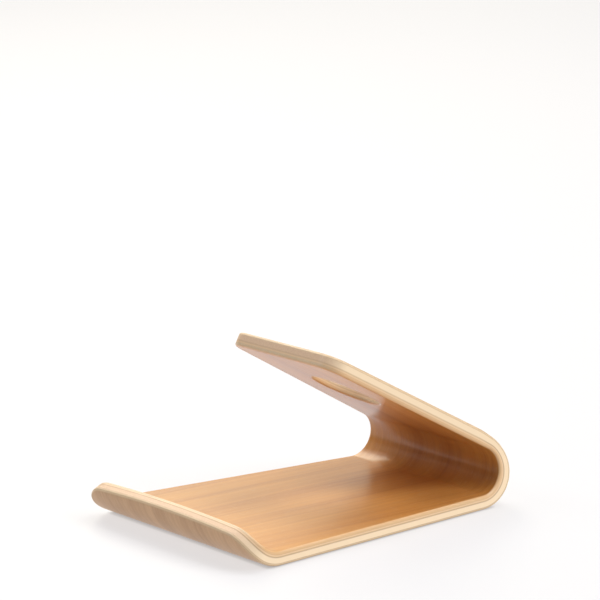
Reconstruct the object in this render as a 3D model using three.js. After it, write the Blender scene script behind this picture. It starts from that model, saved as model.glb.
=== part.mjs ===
// Phone stand: one tapered strip of five-ply wood, bent into a lip, a base, a rear bend and a support.
// Millimetres, +Z up. The base lies on z = 0, the lip faces -Y and +X is to the right of a person
// facing it.
import * as THREE from "three";

// Plies in the order they are stacked, from the outside of the bends to the inside.
const PLIES = [
  { name: "outer_face_veneer", thickness: 0.3, color: 0xb8947a, roughness: 0.38 },
  { name: "outer_cross_ply", thickness: 0.41, color: 0xd9bd98, roughness: 0.55 },
  { name: "core_ply", thickness: 1.62, color: 0xfadcb9, roughness: 0.55 },
  { name: "inner_cross_ply", thickness: 0.55, color: 0xdfbd94, roughness: 0.55 },
  { name: "inner_face_veneer", thickness: 0.98, color: 0xc9a173, roughness: 0.38 },
];
const GLUE_LINE = 0.035;
const SHEET = PLIES.reduce((sum, ply) => sum + ply.thickness, 0) + (PLIES.length - 1) * GLUE_LINE;

// Side profile. Radii are those of the outside of the sheet.
const LIP_RADIUS = 13;
const LIP_ANGLE = THREE.MathUtils.degToRad(80);
const BASE_LENGTH = 76;
const REAR_RADIUS = 10.5;
const SUPPORT_SLOPE = THREE.MathUtils.degToRad(28.7);
const SUPPORT_LENGTH = 60;

// In the rear bend the sheet is pressed thicker at first and then thinner, and evens out up the support.
const REAR_SWELL = 0.82;
const REAR_SQUEEZE = 0.1;
const PRESS_RUN_OUT = 5;

// Outline of the flat blank.
const FRONT_HALF_WIDTH = 34.75;
const TAPER = 0.084;
const LIP_CORNER_RADIUS = 8;
const LIP_EDGE_BOW = 0.8;
const SUPPORT_CORNER_RADIUS = 6;
const HOLE_RADIUS = 9.8;
const HOLE_UP_SUPPORT = 32.7;

// Facets.
const ARC_STEP = THREE.MathUtils.degToRad(8);
const RUN_OUT_STEPS = 2;
const CORNER_STEPS = 20;
const HOLE_STEPS = 20;
const LIP_EDGE_STEPS = 8;

// Distances along the middle of the sheet, from the line where the lip starts to curve up.
const REAR_ANGLE = Math.PI - SUPPORT_SLOPE;
const LIP_END = -LIP_ANGLE * (LIP_RADIUS - SHEET / 2);
const SUPPORT_START = BASE_LENGTH + REAR_ANGLE * (REAR_RADIUS - SHEET / 2);
const SUPPORT_END = SUPPORT_START + SUPPORT_LENGTH;
const HOLE_CENTRE = SUPPORT_START + HOLE_UP_SUPPORT;

// How much thicker than the sheet the strip is, at a distance along its middle.
function pressedThicker(along) {
  const run = SUPPORT_START + PRESS_RUN_OUT - BASE_LENGTH;
  const share = THREE.MathUtils.clamp((along - BASE_LENGTH) / run, 0, 1);
  const wave = Math.sin(2 * Math.PI * share);
  return REAR_SWELL * wave * Math.sin(Math.PI * share) - REAR_SQUEEZE * wave ** 2;
}

// Where a point of the flat blank ends up once the strip is bent. depth is measured from the outer face.
function bend(along, across, depth) {
  if (along < 0) {
    const angle = -along / (LIP_RADIUS - SHEET / 2);
    const radius = LIP_RADIUS - depth;
    return new THREE.Vector3(across, -radius * Math.sin(angle), LIP_RADIUS - radius * Math.cos(angle));
  }
  if (along <= BASE_LENGTH) return new THREE.Vector3(across, along, depth);
  const radius = REAR_RADIUS - depth + pressedThicker(along) * (1 - depth / SHEET);
  const angle = Math.min((along - BASE_LENGTH) / (REAR_RADIUS - SHEET / 2), REAR_ANGLE);
  const straight = Math.max(along - SUPPORT_START, 0);
  return new THREE.Vector3(
    across,
    BASE_LENGTH + radius * Math.sin(angle) - straight * Math.cos(SUPPORT_SLOPE),
    REAR_RADIUS - radius * Math.cos(angle) + straight * Math.sin(SUPPORT_SLOPE),
  );
}

// Points of the arc that rounds the corner between two straight edges.
function roundedCorner(before, corner, after, radius) {
  const back = before.clone().sub(corner).normalize();
  const on = after.clone().sub(corner).normalize();
  const halfAngle = Math.acos(back.dot(on)) / 2;
  const inwards = back.clone().add(on).normalize();
  const centre = inwards.multiplyScalar(radius / Math.sin(halfAngle)).add(corner);
  const setback = radius / Math.tan(halfAngle);
  const start = back.multiplyScalar(setback).add(corner).sub(centre);
  const end = on.multiplyScalar(setback).add(corner).sub(centre);
  const turn = Math.sign(start.cross(end)) * (Math.PI - 2 * halfAngle);
  return Array.from({ length: CORNER_STEPS + 1 }, (_, i) =>
    start.clone().rotateAround(new THREE.Vector2(), (turn * i) / CORNER_STEPS).add(centre),
  );
}

// Right-hand edge of the blank as (along, across) points, from the middle of the lip to the top of
// the support.
function sideChain() {
  const halfWidth = (along) => FRONT_HALF_WIDTH - TAPER * along;
  const lipMiddle = new THREE.Vector2(LIP_END, 0);
  const lipCorner = new THREE.Vector2(LIP_END, halfWidth(LIP_END));
  const topCorner = new THREE.Vector2(SUPPORT_END, halfWidth(SUPPORT_END));
  const topMiddle = new THREE.Vector2(SUPPORT_END, 0);
  const lipArc = roundedCorner(lipMiddle, lipCorner, topCorner, LIP_CORNER_RADIUS);
  const topArc = roundedCorner(lipCorner, topCorner, topMiddle, SUPPORT_CORNER_RADIUS);
  const lipEdge = Array.from({ length: LIP_EDGE_STEPS }, (_, i) =>
    lipMiddle.clone().lerp(lipArc[0], i / LIP_EDGE_STEPS),
  );
  // The lip's free edge is bowed: its corners stand a little lower than its middle.
  return [...lipEdge, ...lipArc, ...topArc].map((point) => {
    const lipShare = Math.max(point.x / LIP_END, 0);
    const bow = LIP_EDGE_BOW * lipShare * (point.y / lipArc[0].y) ** 2;
    return new THREE.Vector2(point.x + bow, point.y);
  });
}

// Middle line of the blank from end to end, which goes round the right-hand half of the hole.
function middleChain() {
  const hole = Array.from({ length: HOLE_STEPS + 1 }, (_, i) => {
    const angle = (Math.PI * i) / HOLE_STEPS;
    const across = i % HOLE_STEPS ? HOLE_RADIUS * Math.sin(angle) : 0;
    return new THREE.Vector2(HOLE_CENTRE - HOLE_RADIUS * Math.cos(angle), across);
  });
  return [new THREE.Vector2(LIP_END, 0), ...hole, new THREE.Vector2(SUPPORT_END, 0)];
}

// Lines across the strip where the flat blank is divided, so that it can bend there.
function foldLines() {
  const spread = (from, to, steps) =>
    Array.from({ length: steps + 1 }, (_, i) => THREE.MathUtils.lerp(from, to, i / steps));
  return [
    ...spread(LIP_END, 0, Math.ceil(LIP_ANGLE / ARC_STEP)),
    ...spread(BASE_LENGTH, SUPPORT_START, Math.ceil(REAR_ANGLE / ARC_STEP)),
    ...spread(SUPPORT_START, SUPPORT_START + PRESS_RUN_OUT, RUN_OUT_STEPS).slice(1),
    HOLE_CENTRE - HOLE_RADIUS,
    HOLE_CENTRE + HOLE_RADIUS,
    SUPPORT_END,
  ];
}

// The stretch of a chain between two fold lines, cut exactly on them.
function stretch(chain, from, to) {
  const points = [];
  chain.forEach((point, i) => {
    const previous = chain[i - 1];
    for (const line of [from, to]) {
      if (previous && previous.x < line && line < point.x) {
        points.push(previous.clone().lerp(point, (line - previous.x) / (point.x - previous.x)));
      }
    }
    if (point.x >= from && point.x <= to) points.push(point);
  });
  return points;
}

// The flat blank as points and triangles, all turning the same way.
function flatBlank() {
  const points = [];
  const triangles = [];
  const known = new Map();
  const indexOf = (point) => {
    const key = [point.x, point.y].map((value) => Math.round(value * 1e6)).join(" ");
    if (!known.has(key)) {
      known.set(key, points.length);
      points.push(point);
    }
    return known.get(key);
  };
  const fill = (contour) => {
    const ids = [...new Set(contour.map(indexOf))];
    const corners = ids.map((id) => points[id]);
    for (const [a, b, c] of THREE.ShapeUtils.triangulateShape(corners, [])) {
      const turnsLeft = THREE.ShapeUtils.area([corners[a], corners[b], corners[c]]) > 0;
      triangles.push(turnsLeft ? [ids[a], ids[b], ids[c]] : [ids[a], ids[c], ids[b]]);
    }
  };
  const side = sideChain();
  const middle = middleChain();
  const lines = foldLines();
  for (let i = 1; i < lines.length; i++) {
    const outer = stretch(side, lines[i - 1], lines[i]);
    const inner = stretch(middle, lines[i - 1], lines[i]);
    const rightHalf = [...outer, ...inner.toReversed()];
    fill(rightHalf);
    fill(rightHalf.map((point) => new THREE.Vector2(point.x, -point.y)));
  }
  return { points, triangles };
}

// One ply: the blank's outline between two depths, bent with the strip.
function plyGeometry(blank, outerDepth, innerDepth) {
  const count = blank.points.length;
  const vertices = [outerDepth, innerDepth].flatMap((depth) =>
    blank.points.flatMap((point) => bend(point.x, point.y, depth).toArray()),
  );
  const edges = new Set(blank.triangles.flatMap(([a, b, c]) => [`${a} ${b}`, `${b} ${c}`, `${c} ${a}`]));
  const faces = blank.triangles.flatMap(([a, b, c]) => [a, b, c, a + count, c + count, b + count]);
  for (const edge of edges) {
    const [a, b] = edge.split(" ").map(Number);
    if (!edges.has(`${b} ${a}`)) faces.push(b, a, a + count, b, a + count, b + count);
  }
  const geometry = new THREE.BufferGeometry();
  geometry.setAttribute("position", new THREE.Float32BufferAttribute(vertices, 3));
  geometry.setIndex(faces);
  geometry.computeVertexNormals();
  return geometry;
}

const stand = new THREE.Group();
const blank = flatBlank();
let depth = 0;
for (const { name, thickness, color, roughness } of PLIES) {
  const material = new THREE.MeshStandardMaterial({ color, roughness, metalness: 0 });
  const ply = new THREE.Mesh(plyGeometry(blank, depth, depth + thickness), material);
  ply.name = name;
  stand.add(ply);
  depth += thickness + GLUE_LINE;
}

// The origin is under the middle of the stand. The swelling in the bend, a tenth of a millimetre at
// the rear, is left out of this.
const front = bend(LIP_END, 0, 0).y;
const rear = BASE_LENGTH + REAR_RADIUS;
stand.position.y = -(front + rear) / 2;

export default stand;
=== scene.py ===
"""Phone stand: the fine surface of each bent ply, its wood and lacquer, and the studio."""

import math

import bpy
import numpy as np
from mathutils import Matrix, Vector


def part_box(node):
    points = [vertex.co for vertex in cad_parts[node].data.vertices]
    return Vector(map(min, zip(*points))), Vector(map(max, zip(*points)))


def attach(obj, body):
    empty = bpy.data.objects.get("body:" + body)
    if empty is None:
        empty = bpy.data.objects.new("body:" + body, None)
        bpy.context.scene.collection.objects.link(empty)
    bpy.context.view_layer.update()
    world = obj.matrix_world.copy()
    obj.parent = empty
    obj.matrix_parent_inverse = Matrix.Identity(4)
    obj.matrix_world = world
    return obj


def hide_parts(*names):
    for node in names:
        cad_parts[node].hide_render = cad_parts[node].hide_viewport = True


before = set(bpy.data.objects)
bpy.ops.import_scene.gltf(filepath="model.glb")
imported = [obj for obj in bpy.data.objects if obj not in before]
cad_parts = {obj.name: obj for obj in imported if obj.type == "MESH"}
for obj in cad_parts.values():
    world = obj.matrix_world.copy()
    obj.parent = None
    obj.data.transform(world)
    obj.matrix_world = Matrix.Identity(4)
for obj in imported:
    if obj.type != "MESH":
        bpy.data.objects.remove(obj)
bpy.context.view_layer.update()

MM = 0.001

# Plies from the outside of the bends to the inside, and the way that each one's grain runs.
PLIES = {
    "outer_face_veneer": "along",
    "outer_cross_ply": "across",
    "core_ply": "along",
    "inner_cross_ply": "across",
    "inner_face_veneer": "along",
}
SHEET = 4.0
GLUE_LINE = 0.035

# The strip, in millimetres: its side profile, its outline when flat and the cable hole. The radii
# of the two bends are those of the outside of the sheet.
LIP_RADIUS = 13.0
LIP_ANGLE = math.radians(80)
BASE_LENGTH = 76.0
REAR_RADIUS = 10.5
REAR_ANGLE = math.radians(180 - 28.7)
SUPPORT_LENGTH = 60.0
FRONT_HALF_WIDTH = 34.75
TAPER = 0.084
LIP_CORNER_RADIUS = 8.0
LIP_EDGE_BOW = 0.8
TOP_CORNER_RADIUS = 6.0
HOLE_RADIUS = 9.8
HOLE_UP_SUPPORT = 32.7

# In the rear bend the sheet is pressed thicker at first and then thinner, and evens out up the
# support.
REAR_SWELL = 0.82
REAR_SQUEEZE = 0.1
PRESS_RUN_OUT = 5.0

# The sanding: what it takes off every surface, how far it rounds the arrises, how far it slopes the
# cut end of the lip, and the groove that is left at each glue line.
SANDED = 0.03
ARRIS_RADIUS = 0.75
LIP_BEVEL = 0.4
GROOVE_DEPTH = 0.03
GROOVE_HALF_WIDTH = 0.06

# Mesh steps. The hole sits in a block of cells, with rings of points between the block's edge and
# the hole's, at these shares of the way.
CORNER_STEPS = 20
ARRIS_STEPS = 6
ARC_STEP = math.radians(2)
STRAIGHT_STEP = 2.5
COLUMNS = 32
HOLE_BLOCK_CELLS = 20
HOLE_RINGS = (0.3, 0.6, 0.85)
SMALLEST_STEP = 1e-4

# Distances along the middle of the sheet, from the line where the lip starts to curve up.
LIP_MIDDLE_RADIUS = LIP_RADIUS - SHEET / 2
REAR_MIDDLE_RADIUS = REAR_RADIUS - SHEET / 2
LIP_END = -LIP_ANGLE * LIP_MIDDLE_RADIUS
SUPPORT_START = BASE_LENGTH + REAR_ANGLE * REAR_MIDDLE_RADIUS
SUPPORT_END = SUPPORT_START + SUPPORT_LENGTH
HOLE_CENTRE = SUPPORT_START + HOLE_UP_SUPPORT

# The straight side of the flat blank: how much longer it is than its run, and the angle it faces.
SLANT = math.hypot(1, TAPER)
SIDE_ANGLE = math.atan2(1, TAPER)

# Depths between the plies, from the outside of the bends: the middle of each glue line.
PLY_STARTS = [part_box(name)[0].z / MM for name in PLIES]
GLUE_DEPTHS = [start - GLUE_LINE / 2 for start in PLY_STARTS[1:]]
BOUNDARIES = [SANDED, *GLUE_DEPTHS, SHEET - SANDED]


# ---------------------------------------------------------------- bending


def pressed_thicker(along):
    """How much thicker than the sheet the strip is, at a distance along its middle."""
    run = SUPPORT_START + PRESS_RUN_OUT - BASE_LENGTH
    share = np.clip((along - BASE_LENGTH) / run, 0, 1)
    wave = np.sin(2 * np.pi * share)
    return REAR_SWELL * wave * np.sin(np.pi * share) - REAR_SQUEEZE * wave**2


def bend(points):
    """Where points of the flat blank (across, along, depth) end up, in metres in the frame."""
    across, along, depth = points.T
    lip_turn = np.minimum(along, 0) / LIP_MIDDLE_RADIUS
    rear_turn = np.clip((along - BASE_LENGTH) / REAR_MIDDLE_RADIUS, 0, REAR_ANGLE)
    turn = lip_turn + rear_turn
    bend_radius = np.where(along < 0, LIP_RADIUS, REAR_RADIUS)
    radius = bend_radius - depth + pressed_thicker(along) * (1 - depth / SHEET)
    straight = np.maximum(along - SUPPORT_START, 0)
    y = np.clip(along, 0, BASE_LENGTH) + radius * np.sin(turn) + straight * math.cos(REAR_ANGLE)
    z = bend_radius - radius * np.cos(turn) + straight * math.sin(REAR_ANGLE)
    front = -LIP_RADIUS * math.sin(LIP_ANGLE)
    rear = BASE_LENGTH + REAR_RADIUS
    return np.stack([across, y - (front + rear) / 2, z], axis=1) * MM


def bend_facings(points, facings):
    """Which way surfaces of the flat blank face once it is bent.

    A facing is turned by the inverse transpose of the bend's slopes.
    """
    nudge = 1e-3
    slopes = [
        (bend(points + step) - bend(points - step)) / (2 * nudge)
        for step in np.eye(3) * nudge
    ]
    bent = np.linalg.solve(np.stack(slopes, axis=1), facings[:, :, None])[:, :, 0]
    return bent / np.linalg.norm(bent, axis=1, keepdims=True)


# ---------------------------------------------------------------- the flat blank


def half_width(along):
    """Half the blank's width at a distance along it, its corners left square."""
    return FRONT_HALF_WIDTH - TAPER * along


# The block of cells around the hole: half its size, and where along the blank it starts and ends.
BLOCK_HALF = half_width(HOLE_CENTRE) * HOLE_BLOCK_CELLS / COLUMNS
BLOCK_START = HOLE_CENTRE - BLOCK_HALF
BLOCK_END = HOLE_CENTRE + BLOCK_HALF


def straight_rows():
    """Distances along where the grid has rows, between the rounded corners."""

    def spread(start, end, step):
        return np.linspace(start, end, math.ceil((end - start) / step) + 1)[1:]

    lip_corner_end = LIP_END + LIP_CORNER_RADIUS * (1 + TAPER / SLANT)
    top_corner_start = SUPPORT_END - TOP_CORNER_RADIUS * (1 - TAPER / SLANT)
    stops = [
        (lip_corner_end, 0, ARC_STEP * LIP_MIDDLE_RADIUS),
        (0, BASE_LENGTH, STRAIGHT_STEP),
        (BASE_LENGTH, SUPPORT_START, ARC_STEP * REAR_MIDDLE_RADIUS),
        (SUPPORT_START, BLOCK_START, STRAIGHT_STEP),
        (BLOCK_START, BLOCK_END, 2 * BLOCK_HALF / HOLE_BLOCK_CELLS),
        (BLOCK_END, top_corner_start, STRAIGHT_STEP),
    ]
    return np.concatenate([spread(*stop) for stop in stops])[:-1]


# The rows of the grid, and which rows and columns the block around the hole takes up.
STRAIGHT_ROWS = straight_rows()
FIRST_BLOCK_ROW = CORNER_STEPS + 1 + int(np.argmin(abs(STRAIGHT_ROWS - BLOCK_START)))
BLOCK_ROWS = (FIRST_BLOCK_ROW, FIRST_BLOCK_ROW + HOLE_BLOCK_CELLS)
BLOCK_COLUMNS = ((COLUMNS - HOLE_BLOCK_CELLS) // 2, (COLUMNS + HOLE_BLOCK_CELLS) // 2)

# Angles of the points around the hole, starting at a corner of the block.
HOLE_POINTS = 4 * HOLE_BLOCK_CELLS
HOLE_ANGLES = math.radians(225) + np.arange(HOLE_POINTS) * math.radians(360) / HOLE_POINTS
HOLE_FACING = -np.stack([np.cos(HOLE_ANGLES), np.sin(HOLE_ANGLES)], axis=1)

# The slope of the lip's end runs out around the lip's corners.
BEVEL_RUN_OUT = np.linspace(1, 0, CORNER_STEPS + 1)


def corner_arc(centre_along, radius, inset, first, last):
    """Points of a rounded corner of the blank as (along, across).

    They are drawn in by inset, which is one length or one for each point.
    """
    centre_across = half_width(centre_along) - radius * SLANT
    angles = np.linspace(first, last, CORNER_STEPS + 1)
    along = centre_along + (radius - inset) * np.cos(angles)
    across = centre_across + (radius - inset) * np.sin(angles)
    return np.stack([along, across], axis=1)


def side_of_blank(inset, bevel):
    """The blank's right-hand edge from lip to top as (along, across).

    It is drawn in by inset, and the end of the lip by bevel more.
    """
    lip_insets = inset + bevel * BEVEL_RUN_OUT
    lip_centre = LIP_END + LIP_CORNER_RADIUS
    top_centre = SUPPORT_END - TOP_CORNER_RADIUS
    lip = corner_arc(lip_centre, LIP_CORNER_RADIUS, lip_insets, math.pi, SIDE_ANGLE)
    top = corner_arc(top_centre, TOP_CORNER_RADIUS, inset, SIDE_ANGLE, 0)
    straight_across = half_width(STRAIGHT_ROWS) - inset * SLANT
    straight = np.stack([STRAIGHT_ROWS, straight_across], axis=1)
    return np.concatenate([lip, straight, top])


def side_facing():
    """Which way that edge faces at each of its points, as (along, across)."""
    lip = np.linspace(math.pi, SIDE_ANGLE, CORNER_STEPS + 1)
    straight = np.full(len(STRAIGHT_ROWS), SIDE_ANGLE)
    top = np.linspace(SIDE_ANGLE, 0, CORNER_STEPS + 1)
    angles = np.concatenate([lip, straight, top])
    return np.stack([np.cos(angles), np.sin(angles)], axis=1)


def hole_edge(inset):
    """The hole's edge as (across, along), drawn back from the hole by inset."""
    radius = HOLE_RADIUS + inset
    across = radius * np.cos(HOLE_ANGLES)
    along = HOLE_CENTRE + radius * np.sin(HOLE_ANGLES)
    return np.stack([across, along], axis=1)


def bowed(points):
    """The lip's free edge is bowed: its corners stand a little lower than its middle."""
    lip_share = np.maximum(points[:, 1] / LIP_END, 0)
    lip_straight = half_width(LIP_END + LIP_CORNER_RADIUS) - LIP_CORNER_RADIUS * SLANT
    points = points.copy()
    points[:, 1] += LIP_EDGE_BOW * lip_share * (points[:, 0] / lip_straight) ** 2
    return points


def blank_grid(inset, bevel):
    """The flat blank as points (across, along) and cells.

    Its outline and the hole's edge come with it as point numbers.
    """
    side = side_of_blank(inset, bevel)
    shares = np.linspace(-1, 1, COLUMNS + 1)
    rows = len(side)
    points = [(share * across, along) for along, across in side for share in shares]
    number = np.arange(rows * (COLUMNS + 1)).reshape(rows, COLUMNS + 1)
    row0, row1 = BLOCK_ROWS
    col0, col1 = BLOCK_COLUMNS
    cells = [
        (number[i, j], number[i, j + 1], number[i + 1, j + 1], number[i + 1, j])
        for i in range(rows - 1)
        for j in range(COLUMNS)
        if not (row0 <= i < row1 and col0 <= j < col1)
    ]
    block = [
        *number[row0, col0:col1],
        *number[row0:row1, col1],
        *number[row1, col1:col0:-1],
        *number[row1:row0:-1, col0],
    ]
    circle = hole_edge(inset)
    rings = [block]
    for share in (*HOLE_RINGS, 1):
        ring = []
        for corner, on_circle in zip(block, circle):
            ring.append(len(points))
            points.append(tuple(np.array(points[corner]) * (1 - share) + on_circle * share))
        rings.append(ring)
    for outer, inner in zip(rings, rings[1:]):
        for k in range(len(outer)):
            after = (k + 1) % len(outer)
            cells.append((outer[k], outer[after], inner[after], inner[k]))
    outline = [
        *number[0, :-1],
        *number[:-1, -1],
        *number[-1, :0:-1],
        *number[:0:-1, 0],
    ]
    return np.array(points), cells, outline, rings[-1]


def outline_facing():
    """Which way the outline faces at each of its points, as (across, along)."""
    right = side_facing()[:, ::-1]
    left = right[::-1] * (-1, 1)
    front = np.tile((0.0, -1.0), (COLUMNS, 1))
    back = np.tile((0.0, 1.0), (COLUMNS, 1))
    return np.concatenate([front, right[:-1], back, left[:-1]])


def outline_slope():
    """How much the lip's bevel tilts the outline at each of its points, towards the outer face."""
    rest = np.zeros(len(STRAIGHT_ROWS) + CORNER_STEPS + 1)
    right = np.concatenate([BEVEL_RUN_OUT, rest])
    share = np.concatenate([np.ones(COLUMNS), right[:-1], np.zeros(COLUMNS), right[::-1][:-1]])
    return share * LIP_BEVEL / SHEET


# ---------------------------------------------------------------- the plies


def easing(depth):
    """How far the sanded edge is drawn in at a depth, and how it faces there (outwards, depth)."""
    if depth < SANDED + ARRIS_RADIUS:
        facing = (depth - SANDED - ARRIS_RADIUS) / ARRIS_RADIUS
    elif depth > SHEET - SANDED - ARRIS_RADIUS:
        facing = (depth - SHEET + SANDED + ARRIS_RADIUS) / ARRIS_RADIUS
    else:
        facing = 0
    outwards = math.sqrt(max(0.0, 1 - facing * facing))
    return SANDED + ARRIS_RADIUS * (1 - outwards), outwards, facing


def grooved(depth, low, high):
    """The groove at a ply's glue lines: how deep it is, and how its flank tilts the edge."""
    sunk = 0.0
    tilt = 0.0
    for glue, side in ((low, -1), (high, 1)):
        if glue in GLUE_DEPTHS:
            near = max(0.0, 1 - abs(depth - glue) / GROOVE_HALF_WIDTH)
            sunk += GROOVE_DEPTH * near * near
            tilt += side * near
    return sunk, tilt


def depth_samples(low, high):
    """Depths where the edge of a ply has points, closest together where it is rounded."""
    rounded = ARRIS_RADIUS * (1 - np.cos(np.linspace(0, math.pi / 2, ARRIS_STEPS + 1)))
    flanks = [glue + side * GROOVE_HALF_WIDTH for glue in GLUE_DEPTHS for side in (-1, 1)]
    depths = [*(SANDED + rounded), *(SHEET - SANDED - rounded), *flanks, (low + high) / 2]
    within = [depth for depth in depths if low + SMALLEST_STEP < depth < high - SMALLEST_STEP]
    return [low, *sorted(within), high]


def edge_facing(around, outwards, depth_share):
    """Which way an edge faces as (across, along, depth), from the way it faces in the blank."""
    facing = np.column_stack([around * outwards, np.zeros(len(around)) + depth_share])
    return facing / np.linalg.norm(facing, axis=1, keepdims=True)


def ply_mesh(name, low, high):
    """One ply as a closed mesh between two depths.

    Each point keeps its place and its facing in the flat blank, for the grain.
    """
    points = []
    facings = []
    faces = []
    rings = []

    def add(flat, depth, facing):
        first = sum(len(part) for part in points)
        points.append(np.column_stack([bowed(flat), np.full(len(flat), depth)]))
        facings.append(facing)
        return first

    for depth in depth_samples(low, high):
        drawn_in, outwards, facing = easing(depth)
        sunk, tilt = grooved(depth, low, high)
        bevel = LIP_BEVEL * (1 - depth / SHEET)
        flat, cells, outline, hole = blank_grid(drawn_in + sunk, bevel)
        on_outline = edge_facing(outline_facing(), outwards, facing + tilt - outline_slope())
        on_hole = edge_facing(HOLE_FACING, outwards, facing + tilt)
        if depth in (low, high):
            cap_facing = np.tile((0.0, 0.0, -1.0 if depth == low else 1.0), (len(flat), 1))
            cap_facing[outline] = on_outline
            cap_facing[hole] = on_hole
            first = add(flat, depth, cap_facing)
            turned = [cell[::-1] for cell in cells] if depth == low else cells
            faces += [tuple(int(first + k) for k in cell) for cell in turned]
            rings.append(([first + k for k in outline], [first + k for k in hole]))
        else:
            first = add(flat[outline], depth, on_outline)
            second = add(flat[hole], depth, on_hole)
            outline_ring = [first + k for k in range(len(outline))]
            hole_ring = [second + k for k in range(len(hole))]
            rings.append((outline_ring, hole_ring))
    for (outline_a, hole_a), (outline_b, hole_b) in zip(rings, rings[1:]):
        for below, above in ((outline_a, outline_b), (hole_a[::-1], hole_b[::-1])):
            for k in range(len(below)):
                after = (k + 1) % len(below)
                corners = (below[k], below[after], above[after], above[k])
                faces.append(tuple(int(corner) for corner in corners))

    points = np.concatenate(points)
    facings = np.concatenate(facings)
    mesh = bpy.data.meshes.new(name)
    mesh.from_pydata(bend(points).tolist(), [], faces)
    for label, values in (("blank", points), ("facing", facings)):
        attribute = mesh.attributes.new(label, "FLOAT_VECTOR", "POINT")
        attribute.data.foreach_set("vector", values.astype(np.float32).ravel())
    mesh.shade_smooth()
    mesh.validate()
    mesh.normals_split_custom_set_from_vertices(bend_facings(points, facings).tolist())
    return mesh


# ---------------------------------------------------------------- wood

# For each ply: light grain, dark grain, end grain and the sanded edge, as they look on a screen.
PALETTES = {
    "outer_face_veneer": ((216, 174, 130), (172, 129, 88), (238, 212, 178), (220, 190, 150)),
    "outer_cross_ply": ((232, 204, 166), (220, 190, 150), (228, 198, 158), (238, 212, 176)),
    "core_ply": ((252, 228, 192), (244, 216, 178), (218, 184, 154), (252, 226, 190)),
    "inner_cross_ply": ((242, 210, 170), (232, 196, 154), (236, 202, 160), (222, 190, 154)),
    "inner_face_veneer": ((216, 155, 80), (179, 115, 52), (216, 196, 166), (230, 191, 144)),
}

# Streaks in the wood: how many to a millimetre, how many times longer than wide they are, how deep
# in the noise they start, and the noise's detail and roughness.
BANDS = (0.16, 40, 11.0, 2.0, 0.5)
RINGS = (0.75, 60, 23.0, 3.0, 0.6)
FIBRES = (3.4, 40, 37.0, 2.0, 0.6)
PORES = (6.5, 14, 51.0, 0.0, 0.5)
SPECKLES = (2.6, 1.0, 71.0, 3.0, 0.7)
DEPTH_STRETCH = 0.8

# The stretch of each noise that is spread from nothing to full.
BANDS_RANGE = (0.3, 0.7)
RINGS_RANGE = (0.3, 0.7)
FIBRES_RANGE = (0.25, 0.75)
PORES_RANGE = (0.66, 0.74)
SPECKLES_RANGE = (0.35, 0.7)

# How much each kind of streak counts in the wood's tone.
BANDS_SHARE = 0.42
RINGS_SHARE = 0.36
FIBRES_SHARE = 0.22
PORES_SHARE = 0.16
EDGE_TONE_SHARE = 0.3
SPECKLES_SHARE = 0.35

# How far the straight grain wanders sideways, in millimetres, and how often, to the millimetre.
WANDER = 1.6
WANDER_OFTEN_SIDEWAYS = 0.03
WANDER_OFTEN_LENGTHWAYS = 0.012

# Where a surface turned away from the face starts to look like the sanded edge.
FACE_TURN = 0.86

# Each ply's grain starts this much deeper in the noise, so that it doesn't run on into the next.
PLY_OFFSET = 13.0

# How strongly the glue shows at each boundary, and how far its stain reaches into the wood in
# millimetres. It shows less up the support than below the bend.
GLUE = (176, 136, 98)
GLUE_STAINS = [(0, 0), (0.4, 0.1), (0.5, 0.14), (0.8, 0.3), (0.15, 0.1), (0, 0)]
GLUE_BELOW = 0.75
GLUE_ABOVE = 0.4
GLUE_FADE = (SUPPORT_START - 4, SUPPORT_START + 8)

# How much lacquer stands on the inner face, and how much elsewhere, where more of it has soaked in.
LACQUER_INSIDE = 0.5
LACQUER_OUTSIDE = 0.12
LACQUER_ROUGHNESS = 0.22
LACQUER_IOR = 1.5

# The wood under the lacquer, smoothest on the faces and roughest on end grain.
WOOD_IOR = 1.45
FACE_ROUGHNESS = 0.38
END_ROUGHNESS = 0.72
ROUGHNESS_RANGE = (0.3, 1.6)

# The relief that the fibres, the rings and the open pores leave under the lacquer.
RELIEF_STRENGTH = 0.35
RELIEF_DEPTH = 0.012 * MM
RINGS_RELIEF = 0.5
PORES_RELIEF = 0.6


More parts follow.
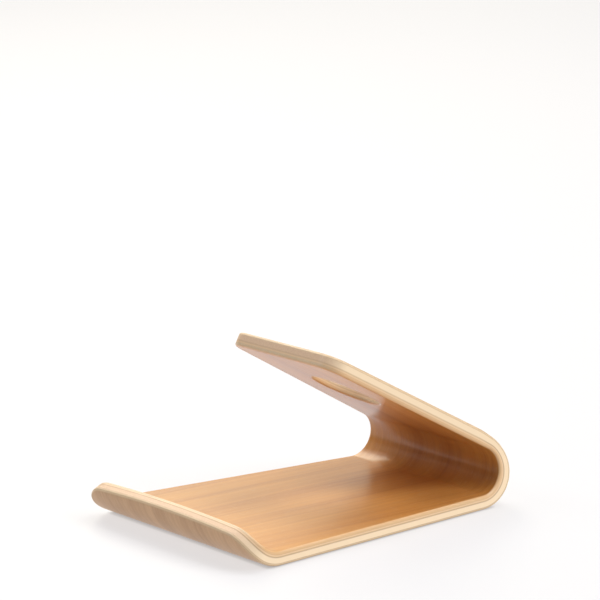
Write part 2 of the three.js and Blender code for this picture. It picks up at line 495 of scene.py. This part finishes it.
class Nodes:
    """Short names for the shader nodes that the wood is built from."""

    def __init__(self, material):
        self.tree = material.node_tree
        self.tree.nodes.clear()

    def new(self, kind, **settings):
        node = self.tree.nodes.new(kind)
        for key, value in settings.items():
            setattr(node, key, value)
        return node

    def feed(self, socket, value):
        if isinstance(value, bpy.types.NodeSocket):
            self.tree.links.new(value, socket)
        else:
            socket.default_value = value

    def math(self, operation, a, b=0.0, clamp=False):
        node = self.new("ShaderNodeMath", operation=operation, use_clamp=clamp)
        self.feed(node.inputs[0], a)
        self.feed(node.inputs[1], b)
        return node.outputs[0]

    def times(self, a, b):
        return self.math("MULTIPLY", a, b)

    def fit(self, value, low, high, to_low=0.0, to_high=1.0, smooth=False):
        interpolation = "SMOOTHSTEP" if smooth else "LINEAR"
        node = self.new("ShaderNodeMapRange", interpolation_type=interpolation)
        for socket, item in zip(node.inputs, (value, low, high, to_low, to_high)):
            self.feed(socket, item)
        return node.outputs[0]

    def vector(self, x, y, z):
        node = self.new("ShaderNodeCombineXYZ")
        for socket, item in zip(node.inputs, (x, y, z)):
            self.feed(socket, item)
        return node.outputs[0]

    def parts(self, attribute):
        source = self.new("ShaderNodeAttribute", attribute_name=attribute)
        node = self.new("ShaderNodeSeparateXYZ")
        self.feed(node.inputs[0], source.outputs["Vector"])
        return node.outputs

    def noise(self, place, detail=2.0, roughness=0.5):
        node = self.new("ShaderNodeTexNoise", noise_dimensions="3D")
        self.feed(node.inputs["Vector"], place)
        node.inputs["Scale"].default_value = 1.0
        node.inputs["Detail"].default_value = detail
        node.inputs["Roughness"].default_value = roughness
        return node.outputs["Fac"]

    def blend(self, share, a, b):
        node = self.new("ShaderNodeMix", data_type="RGBA")
        colours = [socket for socket in node.inputs if socket.type == "RGBA"]
        self.feed(node.inputs["Factor"], share)
        self.feed(colours[0], a)
        self.feed(colours[1], b)
        return next(socket for socket in node.outputs if socket.type == "RGBA")


def colour(red, green, blue):
    """A colour given as it looks on a screen, turned into the light it stands for."""

    def linear(value):
        value /= 255
        return value / 12.92 if value <= 0.04045 else ((value + 0.055) / 1.055) ** 2.4

    return (linear(red), linear(green), linear(blue), 1.0)


def wood(name, grain, low, high, palette, stains, offset, lacquer):
    """Lacquered wood whose grain runs one way through the ply, with end grain where it is cut."""
    light, dark, end, edge = (colour(*shade) for shade in palette)
    material = bpy.data.materials.new(name)
    material.use_nodes = True
    n = Nodes(material)
    across, along, depth = n.parts("blank")
    facing_across, facing_along, facing_depth = n.parts("facing")
    if grain == "along":
        sideways, lengthways, cut = across, along, facing_along
    else:
        sideways, lengthways, cut = along, across, facing_across

    # A slow wander takes the straight grain a little out of true.
    place = n.vector(
        n.times(sideways, WANDER_OFTEN_SIDEWAYS),
        n.times(lengthways, WANDER_OFTEN_LENGTHWAYS),
        offset,
    )
    sideways = n.math("ADD", sideways, n.fit(n.noise(place), 0, 1, -WANDER, WANDER))

    def streaks(per_mm, stretch, start, detail, roughness):
        place = n.vector(
            n.times(sideways, per_mm),
            n.times(lengthways, per_mm / stretch),
            n.times(n.math("ADD", depth, start + offset), per_mm * DEPTH_STRETCH),
        )
        return n.noise(place, detail, roughness)

    bands = streaks(*BANDS)
    rings = streaks(*RINGS)
    fibres = streaks(*FIBRES)
    pores = n.fit(streaks(*PORES), *PORES_RANGE, smooth=True)
    tone = n.times(n.fit(bands, *BANDS_RANGE), BANDS_SHARE)
    tone = n.math("ADD", tone, n.times(n.fit(rings, *RINGS_RANGE), RINGS_SHARE))
    fine_tone = n.times(n.fit(fibres, *FIBRES_RANGE), FIBRES_SHARE)
    tone = n.math("ADD", tone, fine_tone, clamp=True)
    surface = n.blend(tone, dark, light)
    surface = n.blend(n.times(pores, PORES_SHARE), surface, end)

    # The cut edge and its rounded arrises are sanded back to paler wood than the face.
    face_share = n.fit(n.math("ABSOLUTE", facing_depth), FACE_TURN, 1.0)
    pale = n.blend(n.times(tone, EDGE_TONE_SHARE), edge, light)
    surface = n.blend(face_share, pale, surface)

    # Where the fibres are cut across, the wood looks speckled.
    end_share = n.math("POWER", n.math("ABSOLUTE", cut), 2.0)
    speckles = n.fit(streaks(*SPECKLES), *SPECKLES_RANGE)
    end_surface = n.blend(n.times(speckles, SPECKLES_SHARE), end, light)
    surface = n.blend(end_share, surface, end_surface)

    # Glue shows as a thin darker line where a ply meets the next one on a cut edge.
    glue_share = n.fit(along, *GLUE_FADE, GLUE_BELOW, GLUE_ABOVE, smooth=True)
    for boundary, (strength, reach) in zip((low, high), stains):
        if strength:
            away = n.math("ABSOLUTE", n.math("SUBTRACT", depth, boundary))
            line = n.fit(away, GLUE_LINE, reach, strength, 0.0, smooth=True)
            surface = n.blend(n.times(line, glue_share), surface, colour(*GLUE))

    shader = n.new("ShaderNodeBsdfPrincipled")
    output = n.new("ShaderNodeOutputMaterial")
    n.feed(shader.inputs["Base Color"], surface)
    uneven = n.math("ADD", end_share, fibres)
    roughness = n.fit(uneven, *ROUGHNESS_RANGE, FACE_ROUGHNESS, END_ROUGHNESS)
    n.feed(shader.inputs["Roughness"], roughness)
    raised = n.math("ADD", fibres, n.times(rings, RINGS_RELIEF))
    relief = n.math("SUBTRACT", raised, n.times(pores, PORES_RELIEF))
    bump = n.new("ShaderNodeBump")
    bump.inputs["Strength"].default_value = RELIEF_STRENGTH
    bump.inputs["Distance"].default_value = RELIEF_DEPTH
    n.feed(bump.inputs["Height"], relief)
    n.feed(shader.inputs["Normal"], bump.outputs[0])
    shader.inputs["IOR"].default_value = WOOD_IOR
    shader.inputs["Coat Weight"].default_value = lacquer
    shader.inputs["Coat Roughness"].default_value = LACQUER_ROUGHNESS
    shader.inputs["Coat IOR"].default_value = LACQUER_IOR
    n.feed(output.inputs["Surface"], shader.outputs[0])
    return material


for index, (node, grain) in enumerate(PLIES.items()):
    low, high = BOUNDARIES[index : index + 2]
    stains = GLUE_STAINS[index : index + 2]
    offset = PLY_OFFSET * index
    lacquer = LACQUER_INSIDE if node == "inner_face_veneer" else LACQUER_OUTSIDE
    piece = bpy.data.objects.new(f"{node}_sheet", ply_mesh(f"{node}_sheet", low, high))
    bpy.context.scene.collection.objects.link(piece)
    material = wood(f"{node}_wood", grain, low, high, PALETTES[node], stains, offset, lacquer)
    piece.data.materials.append(material)
    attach(piece, "root")
    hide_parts(node)


# ---------------------------------------------------------------- studio

# The floor lies a hair below the stand and glows faintly with painted light: at least by its lowest
# glow, and by this much more in the open. The difference fades where wood is closer above it than
# the contact shade, which makes a painted contact shadow.
FLOOR_REACH = 8.0
FLOOR_LEVEL = -0.02 * MM
FLOOR_COLOUR = (0.21, 0.21, 0.215, 1)
FLOOR_ROUGHNESS = 0.6
GLOW_COLOUR = (1, 0.99, 1, 1)
LOWEST_GLOW = 0.34
GLOW_IN_OPEN = 0.3
CONTACT_SHADE = 1.0 * MM

# The faint, even light all around.
TENT_COLOUR = (1.0, 0.985, 0.975, 1)
TENT_STRENGTH = 0.02

# Soft lights, all facing the stand: place and size in metres, power in watts, and tint.
WHITE = (1, 1, 1)
LIGHT_TARGET = (0, 0, 0.02)
SOFTBOXES = {
    "left_front": ((-0.6, -0.9, 0.9), 0.6, 5.9, WHITE),
    "left_above": ((-0.75, 0.05, 1.2), 0.7, 6.4, WHITE),
    "left_side": ((-1.05, 0.45, 0.75), 0.6, 5.0, (1, 0.91, 0.72)),
    "left_behind": ((-1.1, 0.9, 0.3), 0.6, 1.0, (1, 0.94, 0.78)),
    "right_side": ((0.92, 0.5, 0.77), 0.8, 11.2, WHITE),
    "behind": ((0.0, 0.6, 1.4), 1.0, 13.0, WHITE),
}

# The camera: where it stands in millimetres, the angles it looks from in degrees, its sensor and
# lens in millimetres, and the nearest and farthest that it sees in metres.
CAMERA_PLACE = (617.65, -509.93, 222.50)
CAMERA_AZIMUTH = 50.589
CAMERA_ELEVATION = 11.546
CAMERA_SENSOR = 36
CAMERA_LENS = 183.73
CAMERA_NEAR = 0.05
CAMERA_FAR = 50


def floor():
    """A wide pale floor that the stand rests on, with a faint painted glow of its own."""
    mesh = bpy.data.meshes.new("floor")
    ways = [(-1, -1), (1, -1), (1, 1), (-1, 1)]
    corners = [(x * FLOOR_REACH, y * FLOOR_REACH, 0) for x, y in ways]
    mesh.from_pydata(corners, [], [(0, 1, 2, 3)])
    plane = bpy.data.objects.new("floor", mesh)
    plane.location.z = FLOOR_LEVEL
    bpy.context.scene.collection.objects.link(plane)
    material = bpy.data.materials.new("pale_floor")
    material.use_nodes = True
    tree = material.node_tree
    shader = tree.nodes["Principled BSDF"]
    shader.inputs["Base Color"].default_value = FLOOR_COLOUR
    shader.inputs["Roughness"].default_value = FLOOR_ROUGHNESS
    shader.inputs["Emission Color"].default_value = GLOW_COLOUR
    # The glow dims where wood is close above the floor: a painted contact shadow.
    contact = tree.nodes.new("ShaderNodeAmbientOcclusion")
    contact.inputs["Distance"].default_value = CONTACT_SHADE
    glow = tree.nodes.new("ShaderNodeMath")
    glow.operation = "MULTIPLY_ADD"
    glow.inputs[1].default_value = GLOW_IN_OPEN
    glow.inputs[2].default_value = LOWEST_GLOW
    tree.links.new(contact.outputs["AO"], glow.inputs[0])
    tree.links.new(glow.outputs[0], shader.inputs["Emission Strength"])
    mesh.materials.append(material)


def softbox(name, place, size, power, tint):
    """A square soft light that faces the stand."""
    data = bpy.data.lights.new(name, "AREA")
    data.shape = "SQUARE"
    data.size = size
    data.energy = power
    data.color = tint
    lamp = bpy.data.objects.new(name, data)
    lamp.location = place
    towards = Vector(LIGHT_TARGET) - Vector(place)
    lamp.rotation_euler = towards.to_track_quat("-Z", "Y").to_euler()
    bpy.context.scene.collection.objects.link(lamp)


def studio():
    """Soft lights on both sides, above and behind, over the pale floor."""
    world = bpy.data.worlds.new("tent")
    world.use_nodes = True
    background = world.node_tree.nodes["Background"]
    background.inputs["Color"].default_value = TENT_COLOUR
    background.inputs["Strength"].default_value = TENT_STRENGTH
    bpy.context.scene.world = world
    for name, (place, size, power, tint) in SOFTBOXES.items():
        softbox(name, place, size, power, tint)
    floor()
    bpy.context.scene.view_settings.view_transform = "Standard"


def camera():
    """The camera, at the photograph's viewing angle and distance."""
    data = bpy.data.cameras.new("camera")
    data.sensor_width = CAMERA_SENSOR
    data.lens = CAMERA_LENS
    data.clip_start = CAMERA_NEAR
    data.clip_end = CAMERA_FAR
    eye = bpy.data.objects.new("camera", data)
    azimuth = math.radians(CAMERA_AZIMUTH)
    elevation = math.radians(CAMERA_ELEVATION)
    back = Vector((
        math.sin(azimuth) * math.cos(elevation),
        -math.cos(azimuth) * math.cos(elevation),
        math.sin(elevation),
    ))
    eye.location = Vector(CAMERA_PLACE) * MM
    eye.rotation_mode = "QUATERNION"
    eye.rotation_quaternion = (-back).to_track_quat("-Z", "Y")
    bpy.context.scene.collection.objects.link(eye)
    bpy.context.scene.camera = eye


studio()
camera()
